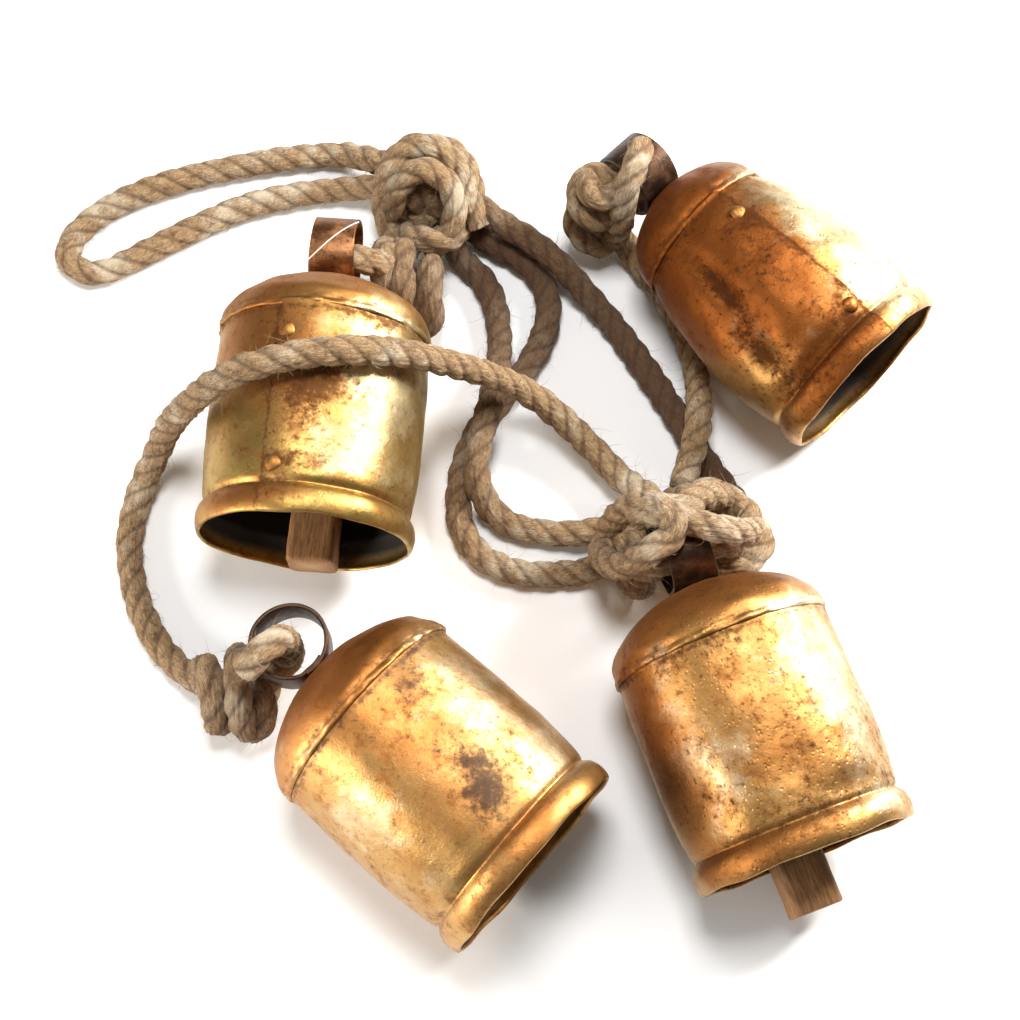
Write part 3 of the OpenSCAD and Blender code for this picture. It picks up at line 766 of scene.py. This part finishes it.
# Turns of rope that each knot is made of
KNOTS = {
    "main_knot": [
        [(-34, 114, 10), (-37, 124, 18), (-34, 134, 27), (-26, 140, 32), (-16, 139, 33), (-8, 132, 29),
         (-4, 123, 23), (0, 115, 16)],
        [(-32, 124, 10), (-33, 121, 20), (-29, 126, 30), (-21, 129, 35), (-12, 125, 32), (-9, 117, 26),
         (-12, 109, 19), (-20, 107, 13)],
        [(-36, 130, 10), (-33, 142, 14), (-23, 148, 18), (-12, 146, 20), (-5, 138, 18), (-2, 128, 12)],
        [(-30, 116, 9), (-25, 110, 17), (-17, 107, 20), (-10, 110, 17), (-7, 118, 11)],
        [(-30, 130, 8), (-22, 120, 12), (-14, 128, 20), (-20, 138, 20), (-28, 132, 20)]],
    "knot_1": [
        [(-34, 103, 13), (-35.3, 101, 25), (-35.3, 93, 31), (-35.3, 86, 26), (-34, 84, 15), (-31, 90, 9),
         (-29, 99, 14), (-29, 101, 24), (-29, 94, 29), (-28, 84, 27), (-26, 78, 17), (-22, 82, 9),
         (-19, 92, 11), (-18, 96, 20), (-18, 90, 26), (-18, 81, 24), (-18, 75, 16), (-22, 76, 8)],
        [(-30, 100, 18), (-30, 92, 17), (-26, 84, 15)]],
    "knot_2": [
        [(54, 117, 8), (48, 109.5, 11), (41.5, 109.5, 15), (37.5, 114, 19), (39, 121, 23), (44, 123, 26),
         (49.5, 117.5, 29), (48, 110.5, 32), (41.5, 109.5, 35), (37.5, 115, 38), (40, 121.5, 41),
         (44.5, 122, 43), (49, 117, 44), (47, 112, 45), (43, 112, 46), (41, 115.5, 46.5),
         (43.5, 118, 46.5)],
        [(53, 110.5, 17), (54, 109.5, 31), (54.2, 111.5, 42), (55.3, 114.5, 51), (58, 120, 54.5),
         (59.5, 125, 55), (60, 128.5, 54.5)]],
    "knot_3": [
        [(-96, -64, 12), (-95, -60, 24), (-92, -66, 29), (-91, -74, 23), (-91, -78, 13), (-88, -70, 7),
         (-85, -59, 9), (-84, -55, 19), (-83, -62, 29), (-82, -72, 28), (-81, -80, 19), (-79, -78, 10),
         (-76, -68, 7), (-75, -60, 10)],
        [(-80, -62, 20), (-75, -70, 22), (-75, -78, 15), (-80, -80, 9)]],
    "knot_4": [
        [(58, -9, 40), (61, -12, 52), (64.5, -14, 57.5), (70, -16.3, 58.5), (77, -18.3, 58),
         (84, -19.5, 57), (91, -18.5, 50), (96, -14.5, 39), (97, -7, 32), (92, -1, 30), (84, 3, 30),
         (77, 1, 28), (76, 4, 20), (82, 2, 15)],
        [(47, -12, 14), (49, -8, 28), (54, -7, 42), (60, -9, 52), (66, -12, 57.5), (71, -11, 56),
         (78, -5, 48), (84, -2, 40), (90, 0, 26), (92, -4, 16)],
        [(52, -10, 12), (46, -15, 20), (45, -22, 30), (49, -28, 40), (55, -29, 50), (61, -26, 56.5),
         (66.5, -22, 58.5), (67, -16, 61), (62, -11, 56), (56, -12, 46)],
        [(82, 4, 15), (92, 3, 15), (100, -4, 14), (104, -12, 15), (98, -20, 18), (88, -22, 18),
         (80, -19, 10), (66, -13, 12), (54, -13, 18), (48, -17, 12)],
        [(48, -14, 12), (54, -16, 26), (57, -28, 24), (60, -28, 14), (57, -26, 7), (53, -18, 6)],
        [(66, 0, 22), (70, -6, 12), (80, -8, 9), (88, -4, 10), (84, 5, 12), (74, 6, 14), (68, 0, 12)]],
}

# A thick core that each knot's turns are wound on, darkened by painted shade to fill the gaps between turns,
# and how much thicker than the rope it is
KNOT_CORES = {
    "main_knot": ([(-33, 131, 16), (-26, 131, 17), (-18, 130, 17), (-10, 127, 16), (-5, 126, 15)], 2.3),
    "knot_1": ([(-36, 96, 18), (-28, 89, 17), (-20, 81, 15)], 1.5),
    "knot_2": ([(45, 116, 12), (44.2, 115.6, 24), (44.4, 115.6, 40)], 1.3),
    "knot_3": ([(-94, -66, 15), (-86, -69, 16), (-78, -71, 15)], 1.7),
    "knot_4": ([(100, -9, 14), (92, -8.5, 15), (82, -5, 14), (70, -8, 13), (58, -16, 12)], 1.7)}

# How much painted shade darkens each stretch of rope, from its start to its end
SHADES = {
    "hanging_loop": (0.12, 0.02), "lead_1": (0.5, 0.6), "inner_lead": (0.95, 0.0),
    "outer_lead": (0.95, 0.05), "lead_4": (0.60, 0.95), "front_strand": (0.0, 0.05),
    "right_strand": (0.0, 0.1), "main_knot": (0.1, 0.1), "knot_1": (0.3, 0.55),
    "knot_2": (0.05, 0.1), "knot_3": (0.2, 0.35), "knot_4": (0.05, 0.1)}
# Painted shade on the knots' cores and on the cut ends
CORE_SHADE, TAIL_SHADE = (0.6, 0.6), (0.1, 0.0)


def distances(path):
    """How far along the path each of its points is."""
    return np.concatenate([[0], np.cumsum(np.linalg.norm(np.diff(path, axis=0), axis=1))])


def smooth_path(route):
    """A curve through the route's points, with a point every STEP mm."""
    p = np.array(route, dtype=float)
    p = np.vstack([2 * p[0] - p[1], p, 2 * p[-1] - p[-2]])
    t = np.linspace(0, 1, CURVE_STEPS, endpoint=False)[:, None]
    runs = []
    for a, b, c, d in zip(p[:-3], p[1:-2], p[2:-1], p[3:]):
        runs.append(0.5 * (2 * b + (c - a) * t + (2 * a - 5 * b + 4 * c - d) * t ** 2
                           + (3 * b - a - 3 * c + d) * t ** 3))
    fine = np.vstack(runs + [p[-2:-1]])
    s = distances(fine)
    even = np.linspace(0, s[-1], max(int(s[-1] / STEP), 8) + 1)
    return np.stack([np.interp(even, s, fine[:, k]) for k in range(3)], 1)


def path_frames(path):
    """Tangent and two cross directions at each point, carried along without twist."""
    tangent = np.gradient(path, axis=0)
    tangent /= np.linalg.norm(tangent, axis=1)[:, None]
    u = np.empty_like(path)
    start = np.array([0.0, 0.0, 1.0]) if abs(tangent[0, 2]) < 0.9 else np.array([1.0, 0.0, 0.0])
    for k in range(len(path)):
        start = start - (start @ tangent[k]) * tangent[k]
        start /= np.linalg.norm(start)
        u[k] = start
    return tangent, u, np.cross(tangent, u)


class Rope:
    """Adds twisted rope along paths to a piece, and collects loose hairs that grow on it."""

    def __init__(self, seed):
        self.rng = np.random.default_rng(seed)
        self.hairs = []

    def add(self, piece, path, shade, hairs_per_mm=HAIRS, cut_end=False, thickness=1.0):
        s = distances(path)
        tangent, u, w = path_frames(path)
        phi = np.linspace(0, TAU, AROUND, endpoint=False)
        rng = self.rng
        start = rng.uniform(0, TAU)
        lay = LAY * (1 + 0.04 * np.sin(s / 31 + start))
        twist = start + np.concatenate([[0], np.cumsum(TAU * np.diff(s) / lay[1:])])
        rel = phi - twist[:, None]
        third = (rel + math.pi / 3) % (TAU / 3) - math.pi / 3
        r = STRAND_OFFSET * np.cos(third) + np.sqrt(STRAND_R ** 2 - (STRAND_OFFSET * np.sin(third)) ** 2)
        groove = (r - r.min()) / (r.max() - r.min())
        for count, length in zip(rng.integers(9, 21, 12), rng.uniform(6, 26, 12)):
            r = r + 0.055 * np.cos(count * phi + TAU * s[:, None] / length * rng.choice([-1, 1])
                                   + rng.uniform(0, TAU))
        swell = 1 + 0.018 * np.sin(s / 7.3 + start) + 0.02 * np.sin(s / 17.1 + 2 * start)
        r = r * thickness * swell[:, None]
        if cut_end:
            end = np.clip((s[-1] - s) / 2.5, 0, 1)
            r = r * (0.72 + 0.34 * np.sqrt(np.clip(1 - (1 - end) ** 2, 0, 1)))[:, None]
        points = path[:, None, :] + r[..., None] * (
            np.cos(phi)[:, None] * u[:, None, :] + np.sin(phi)[:, None] * w[:, None, :])
        points[..., 2] = np.maximum(points[..., 2], ROPE_CLEAR)
        lay_co = np.stack([np.broadcast_to(c, r.shape) for c in (
            4 * np.cos(phi), 4 * np.sin(phi), s[:, None] / 9)], -1) + start
        # The painted shade along this stretch, from its start to its end
        painted_shade = np.broadcast_to((shade[0] + (shade[1] - shade[0]) * s / s[-1])[:, None], r.shape)
        grid = piece.grid(points.transpose(1, 0, 2), lay_co=lay_co.transpose(1, 0, 2),
                          groove=groove.T, shade=painted_shade.T)
        for k, flip in ((0, True), (len(path) - 1, False)):
            middle = path[k] + tangent[k] * (0.8 if cut_end and k else 0)
            ring = grid[:-1, k]
            piece.fan(ring, middle, flip, lay_co=[[0, 0, start]], groove=0.7, shade=float(painted_shade[k, 0]) * 0.5)
        self.grow(points, path, tangent, s, painted_shade[:, 0], hairs_per_mm, cut_end)

    def grow(self, points, path, tangent, s, painted_shade, per_mm, cut_end):
        """Picks roots on the surface and bends a hair out from each."""
        rng = self.rng
        number = int(s[-1] * per_mm)
        row = rng.integers(1, len(path) - 1, number)
        if cut_end:
            row = np.concatenate([row, rng.integers(max(len(path) - 7, 1), len(path), END_HAIRS)])
        column = rng.integers(0, points.shape[1], len(row))
        root = points[row, column]
        normal = root - path[row]
        normal /= np.linalg.norm(normal, axis=1)[:, None]
        along = tangent[row] * rng.choice([-1, 1], len(row))[:, None]
        if cut_end:
            along[number:] = tangent[row[number:]]
            root[number:] -= normal[number:] * rng.uniform(0, 4.5, len(row) - number)[:, None]
        lift = rng.uniform(0.15, 1.1, len(row))[:, None]
        way = along + lift * normal + 0.35 * rng.normal(size=root.shape)
        length = np.clip(rng.exponential(2.6, len(row)) + 1.2, 1.2, 9)
        if cut_end:
            length[number:] = rng.uniform(1.0, 3.2, len(row) - number)
        self.hairs.append((root, way, length, painted_shade[row]))

    def make_fuzz(self, material):
        """One mesh of every hair, each a thin three-sided tube that tapers to its tip."""
        root, way, length, painted_shade = (np.concatenate(each) for each in zip(*self.hairs))
        rng = self.rng
        number, rows = len(root), HAIR_SEGMENTS + 1
        way /= np.linalg.norm(way, axis=1)[:, None]
        curl = 0.35 * rng.normal(size=way.shape)
        at = root.copy()
        rings = []
        for k in range(rows):
            side = np.cross(way, [0.31, 0.22, 0.92])
            side /= np.linalg.norm(side, axis=1)[:, None]
            other = np.cross(way, side)
            thick = HAIR_R * (1 - 0.8 * k / HAIR_SEGMENTS)
            rings.append(np.stack([at + thick * (math.cos(a) * side + math.sin(a) * other)
                                   for a in (0, TAU / 3, 2 * TAU / 3)], 1))
            at = at + way * (length / HAIR_SEGMENTS)[:, None]
            at[:, 2] = np.maximum(at[:, 2], HAIR_CLEAR)
            way = way + curl
            way /= np.linalg.norm(way, axis=1)[:, None]
        points = np.stack(rings, 2).reshape(-1, 3)
        piece = Piece()
        index = np.arange(len(points)).reshape(number, 3, rows)
        index = np.concatenate([index, index[:, :1]], 1)
        piece.faces.extend(quads(index))
        piece.points.append(points)
        spread = rng.uniform(0, 30, (number, 1, 1, 3)) * np.ones((1, 3, rows, 1))
        # Each hair carries most of its rope's painted shade
        shade = np.broadcast_to(painted_shade[:, None, None] * 0.8, (number, 3, rows))
        piece.add_attributes(len(points), dict(lay_co=spread.reshape(-1, 3), groove=1.0, shade=shade.ravel()))
        piece.make("rope_fuzz", material, "root")


def make_strand(rope, node, route, material):
    """One stretch of rope between two knots."""
    path = smooth_path(route)
    piece = Piece()
    rope.add(piece, path, SHADES[node])
    made = piece.make(f"{node}_rope", material, "root", [node])


def make_knot(rope, node, material):
    """A knot: several turns of rope round a thick core that painted shade darkens."""
    piece = Piece()
    for turn in KNOTS[node]:
        rope.add(piece, smooth_path(turn), SHADES[node], KNOT_HAIRS)
    core, thickness = KNOT_CORES[node]
    rope.add(piece, smooth_path(core), CORE_SHADE, CORE_HAIRS, thickness=thickness)
    piece.make(f"{node}_turns", material, "root", [node])


def make_tail(rope, number, material):
    """The cut end of the rope, which passes through the hanger."""
    piece = Piece()
    rope.add(piece, smooth_path(TAILS[number]), TAIL_SHADE, cut_end=True)
    piece.make(f"tail_{number}_rope", material, "root", [f"tail_{number}"])


def make_rope(material):
    rope = Rope(seed=11)
    for node, route in STRANDS.items():
        make_strand(rope, node, route, material)
    piece = Piece()
    rope.add(piece, smooth_path(LEAD_1), SHADES["lead_1"])
    piece.make("lead_1_rope", material, "root", ["lead_1"])
    for node in KNOTS:
        make_knot(rope, node, material)
    for number in TAILS:
        make_tail(rope, number, material)
    rope.make_fuzz(material)


# The scrap of thread: its radius, and how far its middle lies off the hanger
THREAD_R, THREAD_OFF = 0.22, 0.25


def make_thread(bell, material):
    """Two turns of thin white thread caught round the first bell's hanger."""
    r = HANGER_D / 2 + THREAD_OFF
    curve = bpy.data.curves.new("hanger_thread", "CURVE")
    curve.dimensions = "3D"
    curve.bevel_depth = THREAD_R * MM
    for around, along in ((np.linspace(0.9, 2.2, 14), np.linspace(8.6, -8.4, 14)),
                          (np.linspace(2.2, 0.5, 14), np.linspace(-8.4, -7.4, 14))):
        spline = curve.splines.new("POLY")
        spline.points.add(len(around) - 1)
        for point, a, w in zip(spline.points, around, along):
            point.co = (*hanger_point(bell, r * math.cos(a), r * math.sin(a), w) * MM, 1)
    curve.materials.append(material)
    made = bpy.data.objects.new("bell_1_thread", curve)
    bpy.context.scene.collection.objects.link(made)
    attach(made, "bell_1")


def white_thread():
    n = Nodes("thread")
    twist = n.noise(3000, 2)
    return n.finish(n.mix(twist, (0.75, 0.72, 0.68), (0.9, 0.88, 0.85)), 0.8, 0.0)


def make_floor():
    bpy.ops.mesh.primitive_plane_add(size=FLOOR_SIZE_M, location=(0, 0, 0))
    floor = bpy.context.object
    floor.name = "floor"
    floor.data.materials.append(pale_floor())


def make_world():
    world = bpy.data.worlds.new("studio")
    world.use_nodes = True
    bpy.context.scene.world = world
    background = world.node_tree.nodes["Background"]
    background.inputs["Color"].default_value = WORLD_COLOUR
    background.inputs["Strength"].default_value = WORLD_STRENGTH


# Each bell's four tones (the pale one also paints its highlights), how deep its fine pits look, and how much
# rust speckle it has
METALS = {
    1: dict(gold=(0.43, 0.285, 0.085), copper=(0.44, 0.20, 0.06), pale=(0.70, 0.585, 0.33),
            dirt=(0.12, 0.048, 0.018), pits=0.12, grime=0.55),
    2: dict(gold=(0.42, 0.245, 0.08), copper=(0.30, 0.105, 0.025), pale=(0.66, 0.55, 0.34),
            dirt=(0.085, 0.028, 0.009), pits=0.22, grime=0.8),
    3: dict(gold=(0.54, 0.315, 0.11), copper=(0.46, 0.19, 0.05), pale=(0.80, 0.65, 0.42),
            dirt=(0.095, 0.068, 0.048), pits=0.08, grime=0.4),
    4: dict(gold=(0.44, 0.265, 0.09), copper=(0.39, 0.175, 0.05), pale=(0.74, 0.62, 0.41),
            dirt=(0.10, 0.046, 0.018), pits=0.35, grime=0.7),
}


add_camera()
bpy.context.scene.view_settings.view_transform = "Standard"
make_floor()
make_world()
for light in LIGHTS:
    add_light(*light)

brown_strip = dark_iron("brown_strip", (0.15, 0.062, 0.025), (0.42, 0.19, 0.075))
# The hangers of bells 2 and 4 are near-black: dark iron, darkened further by painted shade where they sit
# between knot and dome.
dark_strip = dark_iron("dark_strip", (0.035, 0.020, 0.013), (0.10, 0.05, 0.025))
wire_iron = dark_iron("wire_iron", (0.06, 0.05, 0.045), (0.14, 0.10, 0.07))
wood = hardwood("clapper_wood")
bells = {}
for number in BELLS:
    metal = washed_iron(f"bell_{number}_washed_iron", **METALS[number])
    bells[number] = make_bell(number, metal, brown_strip if number == 1 else dark_strip, wire_iron, wood)
make_thread(bells[1], white_thread())
make_rope(jute("jute_rope"))
